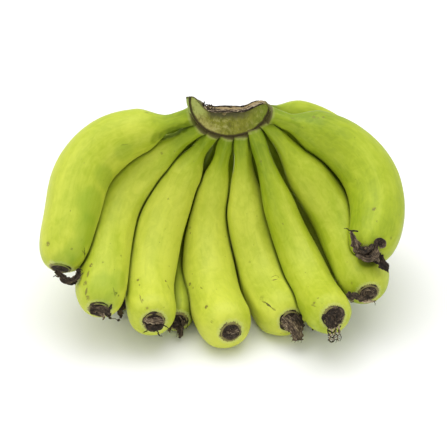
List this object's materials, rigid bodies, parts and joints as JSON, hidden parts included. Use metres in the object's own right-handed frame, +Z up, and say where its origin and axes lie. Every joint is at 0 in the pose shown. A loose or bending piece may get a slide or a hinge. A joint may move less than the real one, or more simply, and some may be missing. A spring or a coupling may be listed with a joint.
{
  "type": "hand of green bananas",
  "caption": "Hand of green bananas: curved fingers grown in rows from a cut crescent crown, with dried blossom ends, resting on its lower fingers.",
  "frame": {"origin": "centre of the footprint box, on the surface the hand rests on", "axes": "+Z up from the surface, +X across the fan of fingers, -Y towards the finger tips; the crown is at the top rear"},
  "size_m": [0.3046, 0.2102, 0.179],
  "materials": {
    "peel_front": "satin",
    "peel_back": "satin",
    "crown_flesh": "matte",
    "dried_blossom": "matte"
  },
  "bodies": {
    "root": {"crown": "crown_flesh", "finger_front_1": "peel_front", "finger_front_2": "peel_front", "finger_front_3": "peel_front", "finger_front_4": "peel_front", "finger_front_5": "peel_front", "finger_front_6": "peel_front", "finger_front_7": "peel_front", "finger_front_8": "peel_front", "finger_back_1": "peel_back", "finger_back_2": "peel_back", "finger_back_3": "peel_back", "finger_back_4": "peel_back", "finger_back_5": "peel_back", "finger_back_6": "peel_back", "finger_back_7": "peel_back", "finger_back_8": "peel_back", "blossom_front_1": "dried_blossom", "blossom_front_2": "dried_blossom", "blossom_front_3": "dried_blossom", "blossom_front_4": "dried_blossom", "blossom_front_5": "dried_blossom", "blossom_front_6": "dried_blossom", "blossom_front_7": "dried_blossom", "blossom_front_8": "dried_blossom", "blossom_back_1": "dried_blossom", "blossom_back_2": "dried_blossom", "blossom_back_3": "dried_blossom", "blossom_back_4": "dried_blossom", "blossom_back_5": "dried_blossom", "blossom_back_6": "dried_blossom", "blossom_back_7": "dried_blossom", "blossom_back_8": "dried_blossom"}
  },
  "joints": []
}
